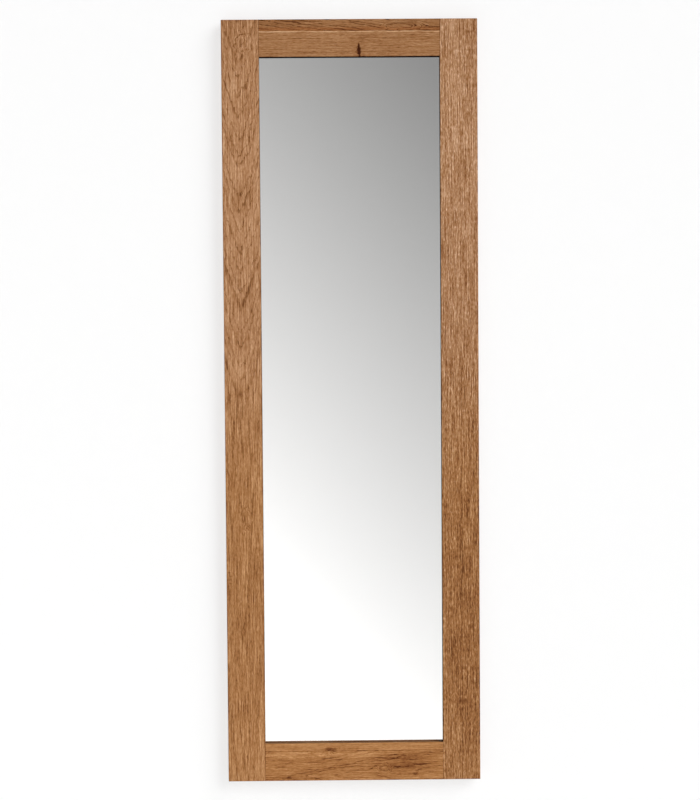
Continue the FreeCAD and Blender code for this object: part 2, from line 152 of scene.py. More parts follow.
def blendOn(tree, factor, first, second):
    made = addNode(tree, "ShaderNodeMix", data_type="FLOAT")
    plug(tree, factor, made.inputs["Factor"])
    plug(tree, first, made.inputs[2])
    plug(tree, second, made.inputs[3])
    return made.outputs[0]


def joinOn(tree, x, y, z):
    made = addNode(tree, "ShaderNodeCombineXYZ")
    for value, socket in zip((x, y, z), made.inputs):
        plug(tree, value, socket)
    return made.outputs[0]


def splitOn(tree, vector):
    made = addNode(tree, "ShaderNodeSeparateXYZ")
    plug(tree, vector, made.inputs[0])
    return made.outputs


def bumpOn(tree, height, distance, strength=1.0):
    made = addNode(tree, "ShaderNodeBump")
    made.inputs["Strength"].default_value = strength
    made.inputs["Distance"].default_value = distance
    plug(tree, height, made.inputs["Height"])
    return made.outputs["Normal"]


def newMaterial(name):
    made = bpy.data.materials.new(name)
    made.use_nodes = True
    tree = made.node_tree
    shader = tree.nodes["Principled BSDF"]
    where = addNode(tree, "ShaderNodeTexCoord").outputs["Object"]
    return made, tree, shader, where


def deselect():
    bpy.ops.object.select_all(action="DESELECT")


def coat(node, material):
    mesh = nodes[node].data
    if not mesh.materials:
        mesh.materials.append(material)
    for index in range(len(mesh.materials)):
        mesh.materials[index] = material


# oak: one group works out the figure of a stave from its place in the log
staveInputs = {
    "Centre": 0.0,      # heart of the figure, across the board
    "Slope": 0.2,       # how far the rings fall away from the heart: 0.2 plain-sawn, 1 straight grain
    "Tip": 0.006,       # roundness of the loops' tips
    "Taper": 0.05,      # how fast the log narrows along the board
    "Straight": -9.0,   # place along the board below which the figure runs straight
    "RingGap": 0.003,
    "Waver": 0.004,     # slow wander of the rings
    "Early": 0.3,       # darkness of the porous ring
    "Fleck": 0.5,       # contrast of the short strokes
    "Fibre": 0.5,       # contrast of the long thin streaks
    "Streak": 0.5,      # contrast of the long broad streaks
    "Blotch": 0.3,      # contrast of the broad patches
    "Glint": 0.1,       # brightness of the pale flecks
    "Level": 0.56,
}

# what all staves share; cells are to the metre, across, into and along the board
figure = {
    "slowCells": (14, 14, 4.0),
    "quickCells": (62, 62, 19),
    "jagCells": (240, 240, 60),
    "slowPush": 7.0,            # the wander's push across the board, in parts of Waver
    "quickPush": 2.2,
    "quickLift": 0.5,
    "jagLift": 0.0022,          # fraying of the rings, in metres
    "straightTaper": 0.22,      # share of the taper that is left below Straight
    "unevenCells": (0.6, 1, 1),
    "unevenness": 2.4,          # how much one ring's width differs from the next
    "ringRise": 0.05,           # early wood, in parts of a ring: it starts sharply and fades out
    "ringFade": (0.06, 0.34),
    "brokenCells": (150, 150, 28),
    "brokenSpan": (0.34, 0.56),
    "brokenLeast": 0.25,
    "poreCells": (1500, 1500, 80),
    "poreCrowd": 0.12,          # how much denser the pores are in the early wood
    "poreSpan": (0.60, 0.68),
    "poreShade": -0.14,
    "follow": 0.35,             # share of the wander that the streaks follow
    "glintCells": (370, 370, 95),
    "glintSpan": (0.60, 0.74),
    # name of the contrast, cells, detail, roughness
    "layers": [("Fleck", (440, 440, 90), 2.0, 0.65), ("Fibre", (430, 430, 15), 2.0, 0.6),
               ("Streak", (150, 150, 6), 3.0, 0.6), ("Blotch", (34, 34, 6), 3.0, 0.55)],
}


def makeStaveGroup():
    tree = bpy.data.node_groups.new("oakStave", "ShaderNodeTree")
    tree.interface.new_socket("Place", in_out="INPUT", socket_type="NodeSocketVector")
    for name, value in staveInputs.items():
        socket = tree.interface.new_socket(name, in_out="INPUT", socket_type="NodeSocketFloat")
        socket.default_value = value
    for name in ("Tone", "Pores", "Ring"):
        tree.interface.new_socket(name, in_out="OUTPUT", socket_type="NodeSocketFloat")
    ins = addNode(tree, "NodeGroupInput").outputs
    outs = addNode(tree, "NodeGroupOutput").inputs
    place = ins["Place"]
    across, depth, along = splitOn(tree, place)
    slow = swingOn(tree, place, figure["slowCells"], 1.5)
    quick = swingOn(tree, place, figure["quickCells"], 2.0)
    jag = swingOn(tree, place, figure["jagCells"], 2.0, 0.65)
    slowPush = mathOn(tree, "MULTIPLY", ins["Waver"], figure["slowPush"])
    quickPush = mathOn(tree, "MULTIPLY", ins["Waver"], figure["quickPush"])
    quickLift = mathOn(tree, "MULTIPLY", ins["Waver"], figure["quickLift"])
    wander = mathOn(tree, "MULTIPLY", slow, slowPush)
    wander = mathOn(tree, "MULTIPLY_ADD", quick, quickPush, wander)
    # rings: cones that lean against the board, so that they come out as loops
    sideways = mathOn(tree, "ADD", mathOn(tree, "SUBTRACT", across, ins["Centre"]), wander)
    square = mathOn(tree, "MULTIPLY_ADD", ins["Tip"], ins["Tip"],
                    mathOn(tree, "MULTIPLY", sideways, sideways))
    fall = mathOn(tree, "MULTIPLY", mathOn(tree, "SQRT", square), ins["Slope"])
    above = mathOn(tree, "MAXIMUM", along, ins["Straight"])
    below = mathOn(tree, "MINIMUM", mathOn(tree, "SUBTRACT", along, ins["Straight"]), 0.0)
    reach = mathOn(tree, "MULTIPLY_ADD", below, figure["straightTaper"], above)
    lean = mathOn(tree, "MULTIPLY", reach, ins["Taper"])
    down = mathOn(tree, "SUBTRACT", mathOn(tree, "ADD", fall, depth), lean)
    down = mathOn(tree, "MULTIPLY_ADD", slow, ins["Waver"], down)
    down = mathOn(tree, "MULTIPLY_ADD", quick, quickLift, down)
    down = mathOn(tree, "MULTIPLY_ADD", jag, figure["jagLift"], down)
    count = mathOn(tree, "DIVIDE", down, ins["RingGap"])
    uneven = noiseOn(tree, joinOn(tree, count, 0.0, 0.0), figure["unevenCells"], 1.0)
    count = mathOn(tree, "MULTIPLY_ADD", uneven, figure["unevenness"], count)
    phase = mathOn(tree, "FRACT", count)
    ring = mathOn(tree, "MULTIPLY", rangeOn(tree, phase, 0.0, figure["ringRise"]),
                  rangeOn(tree, phase, *figure["ringFade"], 1.0, 0.0, smooth=True))
    broken = noiseOn(tree, place, figure["brokenCells"], 2.0, 0.6)
    broken = rangeOn(tree, broken, *figure["brokenSpan"], figure["brokenLeast"], 1.0)
    ring = mathOn(tree, "MULTIPLY", ring, broken)
    # pores: dark strokes along the grain, crowded in the early wood
    vessel = noiseOn(tree, place, figure["poreCells"], 1.0)
    crowd = mathOn(tree, "MULTIPLY_ADD", ring, figure["poreCrowd"], vessel)
    pores = rangeOn(tree, crowd, *figure["poreSpan"], smooth=True)
    # the streaks follow the rings' wander
    follow = mathOn(tree, "MULTIPLY_ADD", wander, figure["follow"], across)
    follow = joinOn(tree, follow, depth, along)
    tone = ins["Level"]
    for name, cells, detail, roughness in figure["layers"]:
        layer = swingOn(tree, follow, cells, detail, roughness)
        tone = mathOn(tree, "MULTIPLY_ADD", layer, ins[name], tone)
    tone = mathOn(tree, "SUBTRACT", tone, mathOn(tree, "MULTIPLY", ring, ins["Early"]))
    tone = mathOn(tree, "MULTIPLY_ADD", pores, figure["poreShade"], tone)
    pale = rangeOn(tree, noiseOn(tree, follow, figure["glintCells"], 1.0), *figure["glintSpan"])
    tone = mathOn(tree, "MULTIPLY_ADD", pale, ins["Glint"], tone)
    plug(tree, tone, outs["Tone"])
    plug(tree, pores, outs["Pores"])
    plug(tree, ring, outs["Ring"])
    return tree


staveGroup = makeStaveGroup()

# each frame member: its staves from one edge to the other, and the marks on its face;
# a mark is its place across and along the board, its size the same way, its tone, and
# how far it turns the rings round it; fade is tone by height, from 0 at the bottom to 1, and its rise
# towards the top is painted light from above
leftStileWood = {
    "name": "leftStileOak",
    "upright": True,
    "staves": [
        {"Centre": -0.260, "Slope": 0.17, "Tip": 0.006, "Taper": 0.056, "Straight": -0.62,
         "RingGap": 0.0025, "Waver": 0.0030, "Early": 0.28, "Fleck": 0.85, "Fibre": 1.45,
         "Streak": 0.26, "Blotch": 0.24, "Glint": 0.12, "Level": 0.600},
    ],
    "calm": (-0.80, -0.45, 0.35),       # the rings fade out below
    "fade": [(0.0, -0.02), (0.12, -0.10), (0.3, -0.08), (0.42, -0.06), (0.6, -0.01),
             (0.9, 0.0), (1.0, -0.04)],
    "marks": [
        (-0.250, 0.197, 0.022, 0.030, 0.0, 0.006),
        (-0.262, -0.30, 0.016, 0.040, -0.10, 0.0),
        (-0.252, -0.92, 0.016, 0.034, -0.10, 0.008),
        (-0.222, -0.86, 0.010, 0.190, 0.07, 0.0),
        (-0.222, -1.44, 0.008, 0.120, 0.10, 0.0),
        (-0.222, -0.20, 0.008, 0.300, 0.05, 0.0),
        # short saw marks near the outer edge
        (-0.293, -1.050, 0.0080, 0.0012, -0.32, 0.0),
        (-0.290, -1.058, 0.0064, 0.0012, -0.32, 0.0),
        (-0.294, -1.067, 0.0080, 0.0012, -0.32, 0.0),
        (-0.291, -1.076, 0.0056, 0.0012, -0.32, 0.0),
    ],
    "ramp": [(84, 46, 22), (120, 74, 40), (149, 102, 64), (167, 119, 80), (183, 137, 99),
             (201, 157, 120), (220, 179, 143)],
}

rightStileWood = {
    "name": "rightStileOak",
    "upright": True,
    "seam": 0.2580,
    "staves": [
        {"Centre": 0.135, "Slope": 1.0, "Tip": 0.004, "Taper": 0.004, "RingGap": 0.0052,
         "Waver": 0.0015, "Early": 0.15, "Fleck": 1.30, "Fibre": 1.35, "Streak": 0.34,
         "Blotch": 0.22, "Glint": 0.30, "Level": 0.545},
        {"Centre": 0.395, "Slope": 1.0, "Tip": 0.004, "Taper": -0.005, "RingGap": 0.0046,
         "Waver": 0.0018, "Early": 0.15, "Fleck": 1.30, "Fibre": 1.40, "Streak": 0.38,
         "Blotch": 0.26, "Glint": 0.26, "Level": 0.525},
    ],
    "fade": [(0.0, -0.03), (0.13, -0.12), (0.28, -0.10), (0.5, -0.01), (0.68, 0.04),
             (0.85, 0.09), (1.0, 0.07)],
    "marks": [
        (0.285, 0.222, 0.014, 0.050, -0.08, 0.0),
        # saw marks across the face
        (0.279, 0.219, 0.017, 0.004, -0.10, 0.0),
        (0.281, 0.177, 0.020, 0.003, -0.11, 0.0),
        (0.276, 0.139, 0.016, 0.003, -0.09, 0.0),
        (0.282, 0.111, 0.018, 0.003, -0.09, 0.0),
        (0.280, 0.059, 0.020, 0.003, -0.08, 0.0),
        (0.276, -0.055, 0.022, 0.003, -0.12, 0.0),
        # long pale and dark streaks, and two short cracks
        (0.217, -1.30, 0.007, 0.330, 0.10, 0.0),
        (0.252, -1.05, 0.014, 0.420, -0.07, 0.0),
        (0.2535, -1.478, 0.0012, 0.014, -0.32, 0.0),
        (0.2530, -1.515, 0.0012, 0.018, -0.32, 0.0),
    ],
    "ramp": [(80, 44, 22), (118, 72, 39), (147, 99, 61), (165, 118, 80), (183, 139, 102),
             (205, 162, 128), (226, 188, 158)],
}

topRailWood = {
    "name": "topRailOak",
    "upright": False,
    "seam": 0.2225,
    "paleSeam": 0.46,
    "redSeam": 1.0,
    "staves": [
        {"Centre": 0.110, "Slope": 0.9, "Tip": 0.004, "Taper": 0.012, "RingGap": 0.0058,
         "Waver": 0.0014, "Early": 0.12, "Fleck": 0.80, "Fibre": 0.85, "Streak": 0.34,
         "Blotch": 0.18, "Level": 0.545},
        {"Centre": 0.262, "Slope": 0.50, "Tip": 0.004, "Taper": 0.075, "RingGap": 0.0040,
         "Waver": 0.0050, "Early": 0.42, "Fleck": 0.60, "Fibre": 0.80, "Streak": 0.50,
         "Blotch": 0.44, "Level": 0.43},
    ],
    "marks": [
        # the knot: body, tip, foot, stain beside it and the darker wood round it
        (0.1770, 0.0226, 0.0125, 0.0064, -0.60, 0.010),
        (0.1880, 0.0222, 0.0095, 0.0030, -0.48, 0.0),
        (0.1665, 0.0242, 0.0090, 0.0036, -0.34, 0.0),
        (0.1620, 0.0320, 0.0050, 0.0080, -0.16, 0.0),
        (0.178, 0.0228, 0.026, 0.0220, -0.08, 0.0),
        (0.236, 0.130, 0.012, 0.060, 0.05, 0.010),
    ],
    "ramp": [(62, 26, 6), (114, 68, 34), (146, 98, 59), (161, 114, 74), (174, 128, 88),
             (192, 148, 108), (214, 174, 134)],
}

bottomRailWood = {
    "name": "bottomRailOak",
    "upright": False,
    "seam": -1.4785,
    "glueLine": 0.36,
    "staves": [
        {"Centre": -1.540, "Slope": 0.42, "Tip": 0.008, "Taper": 0.060, "RingGap": 0.0052,
         "Waver": 0.0055, "Early": 0.21, "Fleck": 0.80, "Fibre": 1.05, "Streak": 0.60,
         "Blotch": 0.52, "Level": 0.50},
        {"Centre": -1.400, "Slope": 0.9, "Tip": 0.004, "Taper": 0.008, "RingGap": 0.0052,
         "Waver": 0.0014, "Early": 0.16, "Fleck": 0.75, "Fibre": 0.95, "Streak": 0.46,
         "Blotch": 0.30, "Level": 0.61},
    ],
    "marks": [
        # dark patch at the glue line
        (-1.4745, -0.058, 0.0048, 0.024, -0.50, 0.0),
        (-1.4735, -0.012, 0.0032, 0.050, -0.20, 0.0),
        # pale band below it, and darker wood to the right
        (-1.4865, -0.140, 0.0105, 0.110, 0.27, 0.004),
        (-1.4885, -0.010, 0.0095, 0.110, 0.22, 0.0),
        (-1.508, 0.125, 0.030, 0.090, -0.14, 0.0),
        (-1.522, 0.073, 0.014, 0.022, -0.06, 0.012),
        (-1.520, -0.070, 0.022, 0.110, -0.05, 0.0),
    ],
    "ramp": [(70, 32, 12), (122, 72, 38), (151, 101, 60), (167, 117, 75), (181, 132, 90),
             (198, 150, 109), (216, 170, 131)],
}

# shared by the four members; a span is full up to its first distance and gone at its second
frameFinish = {
    "rampPlaces": (0.0, 0.2, 0.38, 0.52, 0.68, 0.85, 1.0),
    "markCells": (190, 190, 190),   # ragged outline of a mark's tone
    "markRagged": 0.7,
    "turnCells": (60, 60, 60),      # smooth outline where the rings turn round a mark
    "turnRagged": 0.5,
    "markSpan": (0.25, 1.1),
    "glueLine": 0.14,           # hairline where two staves meet
    "glueSpan": (0.0002, 0.0011),
    "swellCells": (22, 1, 1),
    "paleShift": 0.0014,        # pale line just below the seam, and red wood above it
    "paleSwell": -0.006,
    "paleSpan": (0.0004, 0.0022),
    "redShift": 0.0050,
    "redSwell": -0.010,
    "redSpan": (0.0008, 0.0060),
    "lipShade": 0.30,           # painted shade on the lip's inner faces, least on the bottom one, which faces the light from above
    "lipShadeColour": (0.09, 0.06, 0.03, 1.0),
    "lipStart": (0.0004, 0.0011),
    "lipMargin": 0.0003,
    # share of the painted lip shade left on the bottom lip, which the light from above reaches
    "bottomLip": 0.25,
    "bottomLipHeight": 0.002,
    "jointLine": 0.30,          # hairline where rail meets stile
    "jointSpan": (0.0002, 0.0009),
    "arrisShade": 0.26,          # painted shade along the lip's upper arris
    "arrisSpan": (0.0004, 0.0013),
    "edgeShade": 0.16,          # painted shade on the rounded outer edges
    "edgeSpan": (0.0006, 0.0022),
    "lowSpan": (0.35, 0.62),    # painted light: the lower half made warmer, so the paler top stands in for sheen from the light above
    "warmth": (1.0, 0.955, 0.80, 1.0),
    "redness": (1.0, 0.86, 0.74, 1.0),
    "roughness": 0.46,
    "ringRoughness": 0.1,
    "bareSpan": (0.0, 0.2),     # tones of bare knots, which take no wax
    "bareRoughness": 0.8,
    "specular": 0.16,
    "ringDepth": -0.4,          # against the pores' depth
    "relief": 0.00015,
}


def oakMaterial(wood):
    made, tree, shader, where = newMaterial(wood["name"])
    sideways, inwards, upwards = splitOn(tree, where)
    across, along = (sideways, upwards) if wood["upright"] else (upwards, sideways)
    depth = mathOn(tree, "SUBTRACT", inwards, frontFace)
    added, turned = marksOn(tree, where, across, along, depth, wood["marks"])
    place = joinOn(tree, across, turned, along)
    readings = [staveOn(tree, place, upwards, stave, wood) for stave in wood["staves"]]
    tone, pores, ring = readings[0]
    if "seam" in wood:
        edge = mathOn(tree, "SUBTRACT", across, wood["seam"])
        past = mathOn(tree, "GREATER_THAN", edge, 0.0)
        tone, pores, ring = [blendOn(tree, past, lower, upper) for lower, upper in zip(*readings)]
        glueLine = wood.get("glueLine", frameFinish["glueLine"])
        gap = mathOn(tree, "ABSOLUTE", edge)
        tone = mathOn(tree, "SUBTRACT", tone, lineOn(tree, gap, "glueSpan", glueLine))
    if "paleSeam" in wood:
        swell = swingOn(tree, joinOn(tree, along, 0.0, 0.0), frameFinish["swellCells"], 2.0)
        pale = mathOn(tree, "ADD", edge, frameFinish["paleShift"])
        pale = mathOn(tree, "MULTIPLY_ADD", swell, frameFinish["paleSwell"], pale)
        pale = mathOn(tree, "ABSOLUTE", pale)
        tone = mathOn(tree, "ADD", tone, lineOn(tree, pale, "paleSpan", wood["paleSeam"]))
        red = mathOn(tree, "SUBTRACT", edge, frameFinish["redShift"])
        red = mathOn(tree, "MULTIPLY_ADD", swell, frameFinish["redSwell"], red)
        red = mathOn(tree, "ABSOLUTE", red)
        reddened = lineOn(tree, red, "redSpan", wood["redSeam"], smooth=True)
    tone = mathOn(tree, "ADD", tone, added)
    height = rangeOn(tree, upwards, frameBottom, frameTop)
    if "fade" in wood:
        # painted light: the fade curve's rise towards the top stands in for light from above
        tone = mathOn(tree, "ADD", tone, curveOn(tree, height, wood["fade"]))
    # tone lowered by painted shade on the lips, the arris and the outer edges, and by the joint
    # hairlines
    shade, lip = faceShade(tree, sideways, inwards, upwards)
    tone = mathOn(tree, "SUBTRACT", tone, shade)
    stains = [paint(*stain) for stain in wood["ramp"]]
    colour = rampOn(tree, tone, list(zip(frameFinish["rampPlaces"], stains)))
    # painted light: warmer lower down, paler at the top as if sheened by the light above
    low = lineOn(tree, height, "lowSpan", 1.0, smooth=True)
    colour = mixOn(tree, low, colour, frameFinish["warmth"], "MULTIPLY")
    if "paleSeam" in wood:
        colour = mixOn(tree, reddened, colour, frameFinish["redness"], "MULTIPLY")
    # painted shade: the lip's inner faces darkened further towards dark brown
    colour = mixOn(tree, lip, colour, frameFinish["lipShadeColour"], "MULTIPLY")
    plug(tree, colour, shader.inputs["Base Color"])
    # the lip's inner faces and the knots take no wax, so they don't shine
    bare = mathOn(tree, "MAXIMUM", lip, lineOn(tree, tone, "bareSpan", frameFinish["bareRoughness"]))
    waxed = mathOn(tree, "MULTIPLY_ADD", ring, frameFinish["ringRoughness"], frameFinish["roughness"])
    plug(tree, mathOn(tree, "MAXIMUM", waxed, bare), shader.inputs["Roughness"])
    shader.inputs["Specular IOR Level"].default_value = frameFinish["specular"]
    ringRelief = mathOn(tree, "MULTIPLY", ring, frameFinish["ringDepth"])
    relief = mathOn(tree, "MULTIPLY_ADD", pores, -1.0, ringRelief)
    plug(tree, bumpOn(tree, relief, frameFinish["relief"]), shader.inputs["Normal"])
    return made


def lineOn(tree, distance, span, shade, smooth=False):
    # full near the line and gone away from it
    return rangeOn(tree, distance, *frameFinish[span], shade, 0.0, smooth=smooth)


def marksOn(tree, where, across, along, depth, marks):
    # the marks' tones added up, and the depth with the rings turned round them
    ragged = swingOn(tree, where, frameFinish["markCells"], 2.0, 0.6)
    gentle = swingOn(tree, where, frameFinish["turnCells"], 1.0)
    added = 0.0
    for acrossPlace, alongPlace, acrossSize, alongSize, tone, turn in marks:
        spot = (acrossPlace, alongPlace, acrossSize, alongSize)
        if tone:
            outline = mathOn(tree, "MULTIPLY", ragged, frameFinish["markRagged"])
            added = mathOn(tree, "MULTIPLY_ADD", ovalOn(tree, across, along, spot, outline), tone, added)
        if turn:
            outline = mathOn(tree, "MULTIPLY", gentle, frameFinish["turnRagged"])
            depth = mathOn(tree, "MULTIPLY_ADD", ovalOn(tree, across, along, spot, outline), turn, depth)
    return added, depth


def ovalOn(tree, across, along, spot, outline):
    # 1 in the middle of the spot, 0 outside it
    acrossPlace, alongPlace, acrossSize, alongSize = spot
    first = mathOn(tree, "DIVIDE", mathOn(tree, "SUBTRACT", across, acrossPlace), acrossSize)
    second = mathOn(tree, "DIVIDE", mathOn(tree, "SUBTRACT", along, alongPlace), alongSize)
    square = mathOn(tree, "MULTIPLY_ADD", first, first, mathOn(tree, "MULTIPLY", second, second))
    reach = mathOn(tree, "ADD", mathOn(tree, "SQRT", square), outline)
    return lineOn(tree, reach, "markSpan", 1.0, smooth=True)


def staveOn(tree, place, upwards, stave, wood):
    # one stave's tone, pores and rings
    grain = addNode(tree, "ShaderNodeGroup", node_tree=staveGroup)
    plug(tree, place, grain.inputs["Place"])
    for name, value in stave.items():
        grain.inputs[name].default_value = value
    if "calm" in wood:
        calmBelow, fullAbove, share = wood["calm"]
        early = rangeOn(tree, upwards, calmBelow, fullAbove, stave["Early"] * share, stave["Early"])
        plug(tree, early, grain.inputs["Early"])
    return grain.outputs["Tone"], grain.outputs["Pores"], grain.outputs["Ring"]


def faceShade(tree, sideways, inwards, upwards):
    # painted shade on the lip's inner faces, along the lip's upper arris and on the rounded outer edges,
    # and the dark hairlines of the joints
    lipStart, lipEnd = [frontFace + behind for behind in frameFinish["lipStart"]]
    behind = rangeOn(tree, inwards, lipStart, lipEnd)
    fromAxis = mathOn(tree, "ABSOLUTE", sideways)
    inWidth = mathOn(tree, "LESS_THAN", fromAxis, rightOpening + frameFinish["lipMargin"])
    half = (topOpening - bottomOpening) / 2 + frameFinish["lipMargin"]
    fromMiddle = distanceOn(tree, upwards, (topOpening + bottomOpening) / 2)
    inHeight = mathOn(tree, "LESS_THAN", fromMiddle, half)
    lip = mathOn(tree, "MULTIPLY", behind, mathOn(tree, "MULTIPLY", inWidth, inHeight))
    lifted = rangeOn(tree, upwards, bottomOpening, bottomOpening + frameFinish["bottomLipHeight"],
                     frameFinish["bottomLip"], 1.0)
    lip = mathOn(tree, "MULTIPLY", lip, lifted)
    shade = mathOn(tree, "MULTIPLY", lip, frameFinish["lipShade"])
    fromJoint = distanceOn(tree, fromAxis, rightOpening)
    hair = lineOn(tree, fromJoint, "jointSpan", frameFinish["jointLine"])
    hair = mathOn(tree, "MULTIPLY", hair, mathOn(tree, "SUBTRACT", 1.0, inHeight))
    shade = mathOn(tree, "ADD", shade, hair)
    # painted shade: a dark hairline along the top opening's arris
    fromArris = distanceOn(tree, upwards, topOpening)
    arris = lineOn(tree, fromArris, "arrisSpan", frameFinish["arrisShade"])
    shade = mathOn(tree, "MULTIPLY_ADD", arris, inWidth, shade)
    # painted shade along the rounded outer edges
    toSide = mathOn(tree, "SUBTRACT", rightEdge, fromAxis)
    fromCentre = distanceOn(tree, upwards, (frameTop + frameBottom) / 2)
    toEnd = mathOn(tree, "SUBTRACT", (frameTop - frameBottom) / 2, fromCentre)
    toEdge = mathOn(tree, "MINIMUM", toSide, toEnd)
    edge = lineOn(tree, toEdge, "edgeSpan", frameFinish["edgeShade"])
    return mathOn(tree, "ADD", shade, edge), lip


coat("left_stile", oakMaterial(leftStileWood))
coat("right_stile", oakMaterial(rightStileWood))
coat("top_rail", oakMaterial(topRailWood))
coat("bottom_rail", oakMaterial(bottomRailWood))
print("oak frame finished")

# mirror plate: clear float glass in front of the silver
mirrorPlate = {
    "glassTint": (0.985, 0.980, 0.975, 1.0),
    "glassIor": 1.52,
    "arris": 0.0006,            # ground edges of the plate
    "silverGap": 0.00003,       # keeps the plate's back face off the silver's
    "silver": (0.965, 0.97, 0.97, 1.0),
}


def glassMaterial():
    made, _, shader, _ = newMaterial("floatGlass")
    shader.inputs["Base Color"].default_value = mirrorPlate["glassTint"]
    shader.inputs["Roughness"].default_value = 0.0
    shader.inputs["Transmission Weight"].default_value = 1.0
    shader.inputs["IOR"].default_value = mirrorPlate["glassIor"]
    return made


def silverMaterial():
    made, _, shader, _ = newMaterial("silverCoating")
    shader.inputs["Base Color"].default_value = mirrorPlate["silver"]
    shader.inputs["Metallic"].default_value = 1.0
    shader.inputs["Roughness"].default_value = 0.0
    return made


def addGlassPlate():
    low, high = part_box("mirror_glass")
    high = high - Vector((0, mirrorPlate["silverGap"], 0))
    middle = (low + high) / 2
    bpy.ops.mesh.primitive_cube_add(size=1, location=middle, scale=high - low)
    plate = bpy.context.object
    plate.name = "mirrorPlate"
    bpy.ops.object.transform_apply(location=True, rotation=True, scale=True)
    bpy.ops.object.mode_set(mode="EDIT")
    bpy.ops.mesh.select_all(action="SELECT")
    bpy.ops.mesh.bevel(offset=mirrorPlate["arris"], segments=2, affect="EDGES")
    bpy.ops.object.mode_set(mode="OBJECT")
    plate.data.materials.append(glassMaterial())
    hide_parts("mirror_glass")
    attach(plate, "frame")


deselect()
addGlassPlate()
coat("silver_coating", silverMaterial())
print("mirror plate finished")

# back of the mirror: cells to the metre and the weight of each layer
hardboard = {
    "stops": [(0.15, (92, 62, 38)), (0.5, (128, 90, 58)), (0.85, (158, 118, 80))],
    "pulp": {"cells": (900, 900, 900), "detail": 3.0, "roughness": 0.7, "weight": 0.9},
    "shreds": {"cells": (260, 260, 1400), "detail": 2.0, "roughness": 0.6, "weight": 0.7},
    "clouds": {"cells": (9, 9, 7), "detail": 3.0, "roughness": 0.55, "weight": 0.15},
    "surface": 0.72,
    "specular": 0.3,
    "relief": 0.0002,
    "reliefStrength": 0.7,
}


def hardboardMaterial():
    made, tree, shader, where = newMaterial("hardboardSheet")
    tone = 0.5
    for name in ("pulp", "shreds", "clouds"):
        layer = hardboard[name]
        swing = swingOn(tree, where, layer["cells"], layer["detail"], layer["roughness"])
        tone = mathOn(tree, "MULTIPLY_ADD", swing, layer["weight"], tone)
    stops = [(place, paint(*shade)) for place, shade in hardboard["stops"]]
    plug(tree, rampOn(tree, tone, stops), shader.inputs["Base Color"])
    shader.inputs["Roughness"].default_value = hardboard["surface"]
    shader.inputs["Specular IOR Level"].default_value = hardboard["specular"]
    relief = bumpOn(tree, tone, hardboard["relief"], hardboard["reliefStrength"])
    plug(tree, relief, shader.inputs["Normal"])
    return made


coat("backing_board", hardboardMaterial())

# foam, spacers and bumpers: colour, grain size in metres and roughness
softPads = {
    "closedCellFoam": {"shade": (30, 30, 31), "grain": 0.0004, "rough": 0.9},
    "spacerRubber": {"shade": (22, 22, 23), "grain": 0.0003, "rough": 0.7},
    "bumperRubber": {"shade": (24, 24, 25), "grain": 0.0005, "rough": 0.55},
}

# dust on all of them
padDust = {
    "cells": (140, 140, 140),
    "paler": 26,                # added to each 8-bit channel
    "pitWeight": 0.8,
    "span": (0.35, 0.75),
    "roughSpan": (0.3, 0.7),
    "roughSwing": 0.08,
    "pitDepth": 0.4,            # in parts of the grain size
}


def rubberMaterial(name):
    pad = softPads[name]
    made, tree, shader, where = newMaterial(name)
    pits = noiseOn(tree, where, (1 / pad["grain"],) * 3, 2.0, 0.6)
    dust = noiseOn(tree, where, padDust["cells"], 3.0, 0.6)
    dark = paint(*pad["shade"])
    pale = paint(*[channel + padDust["paler"] for channel in pad["shade"]])
    swing = mathOn(tree, "SUBTRACT", pits, 0.5)
    mixed = mathOn(tree, "MULTIPLY_ADD", swing, padDust["pitWeight"], dust)
    stops = list(zip(padDust["span"], (dark, pale)))
    plug(tree, rampOn(tree, mixed, stops), shader.inputs["Base Color"])
    rough = rangeOn(tree, dust, *padDust["roughSpan"], pad["rough"] - padDust["roughSwing"],
                    pad["rough"] + padDust["roughSwing"])
    plug(tree, rough, shader.inputs["Roughness"])
    plug(tree, bumpOn(tree, pits, pad["grain"] * padDust["pitDepth"]), shader.inputs["Normal"])
    return made


padMaterials = {name: rubberMaterial(name) for name in softPads}
for node in nodes:
    if node.startswith("foam_strip"):
        coat(node, padMaterials["closedCellFoam"])
    if node.startswith(("setting_block", "side_spacer")):
        coat(node, padMaterials["spacerRubber"])
    if node.startswith("wall_bumper"):
        coat(node, padMaterials["bumperRubber"])
print("board and pads finished")

# zinc-plated steel
plating = {
    "dark": (146, 147, 146),
    "light": (192, 193, 190),
    "screw": (180, 175, 158),
    "strapRoughness": 0.36,
    "ringRoughness": 0.28,
    "screwRoughness": 0.32,
    "spangleCells": (420, 420, 420),
    "brushedCells": (6000, 6000, 160),
    "plainCells": (900, 900, 900),
    "scuffWeight": 0.7,
    "span": (0.25, 0.65),
    "roughSpan": (0.3, 0.7),
    "duller": 0.1,              # where the plating is dark
    "shinier": 0.06,            # where it is light
    "relief": 0.00003,
}


def steelMaterial(name, light, scuffCells, rough):
    made, tree, shader, where = newMaterial(name)
    spangle = noiseOn(tree, where, plating["spangleCells"], 3.0, 0.6)
    scuffs = noiseOn(tree, where, scuffCells, 2.0, 0.6)
    swing = mathOn(tree, "SUBTRACT", scuffs, 0.5)
    tone = mathOn(tree, "MULTIPLY_ADD", swing, plating["scuffWeight"], spangle)
    stops = list(zip(plating["span"], (paint(*plating["dark"]), paint(*light))))
    plug(tree, rampOn(tree, tone, stops), shader.inputs["Base Color"])
    shader.inputs["Metallic"].default_value = 1.0
    rough = rangeOn(tree, tone, *plating["roughSpan"], rough + plating["duller"],
                    rough - plating["shinier"])
    plug(tree, rough, shader.inputs["Roughness"])
    plug(tree, bumpOn(tree, scuffs, plating["relief"]), shader.inputs["Normal"])
    return made


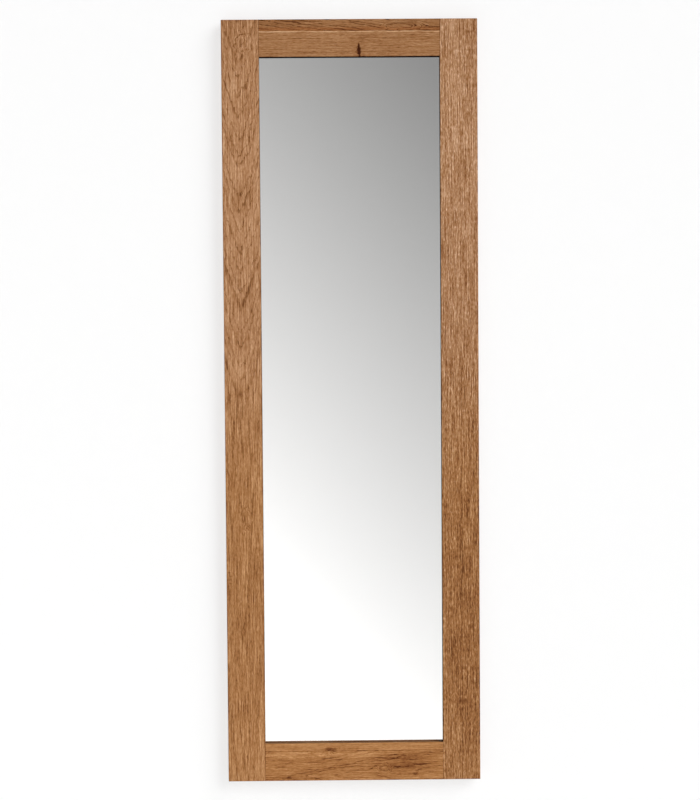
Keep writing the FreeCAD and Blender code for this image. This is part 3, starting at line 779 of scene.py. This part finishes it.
strapSteel = steelMaterial("strapSteel", plating["light"], plating["brushedCells"],
                           plating["strapRoughness"])
ringSteel = steelMaterial("ringSteel", plating["light"], plating["plainCells"],
                          plating["ringRoughness"])
screwSteel = steelMaterial("screwSteel", plating["screw"], plating["plainCells"],
                           plating["screwRoughness"])
for side in ("left", "right"):
    coat("hanger_strap_" + side, strapSteel)
    coat("hanger_ring_" + side, ringSteel)
print("steel finished")

# countersunk screws with a cross recess, modelled once for the board and once for the hangers
boardScrew = {
    "headRadius": 0.00276,
    "shankRadius": 0.00138,
    "length": 0.0119,
    "point": 0.0030,
    "threadPitch": 0.0011,
    "recessArm": 0.0017,
    "recessWidth": 0.00052,
    "recessDepth": 0.0012,
}

hangerScrew = {
    "headRadius": 0.00336,
    "shankRadius": 0.00172,
    "length": 0.0159,
    "point": 0.0040,
    "threadPitch": 0.0014,
    "recessArm": 0.0021,
    "recessWidth": 0.00062,
    "recessDepth": 0.0015,
}

# what all screws share
screwShape = {
    "sides": 28,
    "threadRoot": 0.80,         # root of the thread as a share of the shank
    "pointSteps": [(0.55, 0.6), (0.45, 0.12)],      # share of the point's length, and its narrowing
    "recessFloor": 0.5,         # width of the recess at its floor
    "frontNormal": -0.9,        # faces that look to the front have a normal below this
    "headSpacing": 0.008,       # corners nearer than this belong to one head
    "faceMargin": 0.00001,
    "smoothAngle": 32,
}


def selectFrontFaces(piece):
    bpy.ops.object.mode_set(mode="EDIT")
    bpy.ops.mesh.select_mode(type="FACE")
    bpy.ops.mesh.select_all(action="DESELECT")
    bpy.ops.object.mode_set(mode="OBJECT")
    for face in piece.data.polygons:
        face.select = face.normal.y < screwShape["frontNormal"]
    bpy.ops.object.mode_set(mode="EDIT")


def pullOut(distance, share):
    bpy.ops.mesh.extrude_region_move(TRANSFORM_OT_translate={"value": (0, -distance, 0)})
    bpy.ops.transform.resize(value=(share, 1, share))


def makeScrew(name, screw):
    # head face in the plane y = 0, the shank runs towards the front
    headDepth = screw["headRadius"] - screw["shankRadius"]
    bpy.ops.mesh.primitive_cone_add(vertices=screwShape["sides"], radius1=screw["shankRadius"],
                                    radius2=screw["headRadius"], depth=headDepth,
                                    location=(0, -headDepth / 2, 0), rotation=(math.radians(-90), 0, 0))
    piece = bpy.context.object
    piece.name = name
    bpy.ops.object.transform_apply(location=True, rotation=True, scale=True)
    selectFrontFaces(piece)
    plain = screw["threadPitch"]
    pullOut(plain, 1.0)
    threaded = screw["length"] - headDepth - plain - screw["point"]
    turns = int(threaded / screw["threadPitch"])
    half = threaded / turns / 2
    for turn in range(turns):
        pullOut(half, screwShape["threadRoot"])
        pullOut(half, 1 / screwShape["threadRoot"])
    for length, narrowing in screwShape["pointSteps"]:
        pullOut(screw["point"] * length, narrowing)
    bpy.ops.object.mode_set(mode="OBJECT")
    arm, width = screw["recessArm"], screw["recessWidth"]
    cutRecess(piece, arm, width, screw["recessDepth"])
    cutRecess(piece, width, arm, screw["recessDepth"])
    return piece


def cutRecess(piece, wide, high, deep):
    # one arm of the cross, narrower at its floor
    deselect()
    bpy.ops.mesh.primitive_cube_add(size=1, location=(0, 0, 0), scale=(2 * wide, 2 * deep, 2 * high))
    cutter = bpy.context.object
    bpy.ops.object.transform_apply(location=True, rotation=True, scale=True)
    selectFrontFaces(cutter)
    bpy.ops.transform.resize(value=(screwShape["recessFloor"], 1, screwShape["recessFloor"]))
    bpy.ops.object.mode_set(mode="OBJECT")
    deselect()
    bpy.context.view_layer.objects.active = piece
    piece.select_set(True)
    cut = piece.modifiers.new("recess", "BOOLEAN")
    cut.operation = "DIFFERENCE"
    cut.solver = "EXACT"
    cut.object = cutter
    bpy.ops.object.modifier_apply(modifier=cut.name)
    bpy.data.objects.remove(cutter, do_unlink=True)


def headPlaces(node):
    # the middle of each screw head's face in the CAD node
    corners = [corner.co for corner in nodes[node].data.vertices]
    back = max(corner.y for corner in corners)
    groups = []
    for corner in corners:
        if corner.y < back - screwShape["faceMargin"]:
            continue
        for group in groups:
            if (group[0] - corner).length < screwShape["headSpacing"]:
                group.append(corner)
                break
        else:
            groups.append([corner])
    places = []
    for group in groups:
        across = [corner.x for corner in group]
        upright = [corner.z for corner in group]
        places.append(Vector(((min(across) + max(across)) / 2, back, (min(upright) + max(upright)) / 2)))
    return places


def addScrews(node, screw, angles):
    # angles are how far the crosses are turned, in degrees, over and over
    deselect()
    first = makeScrew(node + "Pattern", screw)
    deselect()
    copies = []
    for index, place in enumerate(headPlaces(node)):
        mesh = first.data.copy()
        turn = Matrix.Rotation(math.radians(angles[index % len(angles)]), 4, "Y")
        mesh.transform(Matrix.Translation(place) @ turn)
        copy = bpy.data.objects.new(node + "Copy", mesh)
        bpy.context.scene.collection.objects.link(copy)
        copy.select_set(True)
        copies.append(copy)
    bpy.data.objects.remove(first, do_unlink=True)
    bpy.context.view_layer.objects.active = copies[0]
    bpy.ops.object.join()
    piece = bpy.context.object
    piece.name = node.replace("_", "-")
    piece.data.materials.clear()
    piece.data.materials.append(screwSteel)
    bpy.ops.object.mode_set(mode="EDIT")
    bpy.ops.mesh.select_all(action="SELECT")
    bpy.ops.mesh.normals_make_consistent(inside=False)
    bpy.ops.object.mode_set(mode="OBJECT")
    bpy.ops.object.shade_smooth_by_angle(angle=math.radians(screwShape["smoothAngle"]))
    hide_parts(node)
    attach(piece, "frame")
    return len(copies)


screwCount = addScrews("backing_board_screws", boardScrew, (12, 67, 31, 80, 5, 52, 24))
screwCount += addScrews("hanger_screws_left", hangerScrew, (20, 75, 41))
screwCount += addScrews("hanger_screws_right", hangerScrew, (8, 58, 33))
print("screws placed:", screwCount)

# stage: a white wall just behind the mirror and a pale floor below it
studio = {
    "size": 14.0,
    "wallGap": 0.0015,
    "wallShade": (0.285, 0.285, 0.285, 1.0),
    "wallGlow": 0.705,          # a backlit backdrop, which keeps the shadows light
    "floorDrop": 0.22,
    "floorShade": (0.86, 0.86, 0.85, 1.0),
    "floorRoughness": 0.8,
}


def wallMaterial():
    # clear from behind, so that the back of the mirror can be looked at
    made = bpy.data.materials.new("wallPaint")
    made.use_nodes = True
    tree = made.node_tree
    tree.nodes.clear()
    behind = addNode(tree, "ShaderNodeNewGeometry").outputs["Backfacing"]
    white = addNode(tree, "ShaderNodeBsdfDiffuse")
    white.inputs["Color"].default_value = studio["wallShade"]
    glow = addNode(tree, "ShaderNodeEmission")
    glow.inputs["Strength"].default_value = studio["wallGlow"]
    lit = addNode(tree, "ShaderNodeAddShader")
    plug(tree, white.outputs[0], lit.inputs[0])
    plug(tree, glow.outputs[0], lit.inputs[1])
    clear = addNode(tree, "ShaderNodeBsdfTransparent")
    mixed = addNode(tree, "ShaderNodeMixShader")
    plug(tree, behind, mixed.inputs[0])
    plug(tree, lit.outputs[0], mixed.inputs[1])
    plug(tree, clear.outputs[0], mixed.inputs[2])
    plug(tree, mixed.outputs[0], addNode(tree, "ShaderNodeOutputMaterial").inputs[0])
    return made


def addWall():
    bpy.ops.mesh.primitive_plane_add(size=studio["size"], location=(0, studio["wallGap"], 0),
                                     rotation=(math.radians(90), 0, 0))
    wall = bpy.context.object
    wall.name = "backdropWall"
    wall.data.materials.append(wallMaterial())
    wall.visible_diffuse = False
    wall.visible_glossy = False
    wall.visible_transmission = False
    wall.visible_shadow = False


def addFloor():
    height = frameBottom - studio["floorDrop"]
    bpy.ops.mesh.primitive_plane_add(size=studio["size"], location=(0, 0, height))
    floor = bpy.context.object
    floor.name = "paleFloor"
    made, _, shader, _ = newMaterial("floorPaint")
    shader.inputs["Base Color"].default_value = studio["floorShade"]
    shader.inputs["Roughness"].default_value = studio["floorRoughness"]
    floor.data.materials.append(made)
    floor.visible_glossy = False
    floor.visible_transmission = False


deselect()
addWall()
addFloor()
print("stage set")

# light: an even white room, a soft key from the upper right, and one for the back
lamps = {
    "roomLight": 0.28,
    "backdrop": 0.90,           # what the camera sees past the wall and floor
    "key": {"towards": (1.2, -1.0, 1.05), "softness": 40, "strength": 3.0},
    "back": {"towards": (-0.8, 1.0, 0.7), "softness": 40, "strength": 2.4},
}


def addLamp(name, lamp):
    data = bpy.data.lights.new(name, "SUN")
    data.angle = math.radians(lamp["softness"])
    data.energy = lamp["strength"]
    made = bpy.data.objects.new(name, data)
    bpy.context.scene.collection.objects.link(made)
    made.matrix_world = Vector(lamp["towards"]).to_track_quat("Z", "Y").to_matrix().to_4x4()
    made.visible_glossy = False
    made.visible_transmission = False


# what the mirror looks back at: darker upwards and to the right, slopes are per unit of direction
reflection = {
    "middle": 0.905,
    "across": -1.79,
    "upwards": -1.71,
    "darkest": 0.50,
    "lightest": 1.25,
    "curve": 2.2,
    "aside": 0.55,              # what is seen in it from well to one side
    "asideSpan": (0.28, 0.62),
}


def setWorld():
    world = bpy.data.worlds.new("studioRoom")
    bpy.context.scene.world = world
    world.use_nodes = True
    tree = world.node_tree
    tree.nodes.clear()
    path = addNode(tree, "ShaderNodeLightPath").outputs
    sideways, _, upwards = splitOn(tree, addNode(tree, "ShaderNodeTexCoord").outputs["Generated"])
    level = mathOn(tree, "MULTIPLY_ADD", sideways, reflection["across"], reflection["middle"])
    level = mathOn(tree, "MULTIPLY_ADD", upwards, reflection["upwards"], level)
    level = mathOn(tree, "MAXIMUM", level, reflection["darkest"])
    level = mathOn(tree, "MINIMUM", level, reflection["lightest"])
    level = mathOn(tree, "POWER", level, reflection["curve"])
    turned = mathOn(tree, "MAXIMUM", mathOn(tree, "ABSOLUTE", sideways),
                    mathOn(tree, "ABSOLUTE", upwards))
    turned = rangeOn(tree, turned, *reflection["asideSpan"], smooth=True)
    level = blendOn(tree, turned, level, reflection["aside"])
    strength = blendOn(tree, path["Is Diffuse Ray"], level, lamps["roomLight"])
    strength = blendOn(tree, path["Is Camera Ray"], strength, lamps["backdrop"])
    shine = addNode(tree, "ShaderNodeBackground")
    plug(tree, strength, shine.inputs["Strength"])
    plug(tree, shine.outputs[0], addNode(tree, "ShaderNodeOutputWorld").inputs[0])


setWorld()
addLamp("keyLamp", lamps["key"])
addLamp("backLamp", lamps["back"])
print("lights set")

# camera where the photograph was taken from; angles are in degrees
cameraSpot = {
    "aside": -0.061,
    "distance": 5.0,            # in front of the frame
    "height": -0.374,
    "yaw": -0.65,
    "pitch": -3.07,
    "roll": 0.43,
    "lens": 95.46,
}


def addCamera():
    data = bpy.data.cameras.new("photoCamera")
    data.lens = cameraSpot["lens"]
    made = bpy.data.objects.new("photoCamera", data)
    bpy.context.scene.collection.objects.link(made)
    place = (cameraSpot["aside"], frontFace - cameraSpot["distance"], cameraSpot["height"])
    turn = (Matrix.Rotation(math.radians(cameraSpot["yaw"]), 4, "Z")
            @ Matrix.Rotation(math.radians(cameraSpot["pitch"]), 4, "X")
            @ Matrix.Rotation(math.radians(cameraSpot["roll"]), 4, "Y"))
    level = Matrix.Rotation(math.radians(90), 4, "X")      # looks along +Y with +Z up
    made.matrix_world = Matrix.Translation(place) @ turn @ level
    bpy.context.scene.camera = made


addCamera()
bpy.context.scene.view_settings.view_transform = "Standard"
print("camera set")
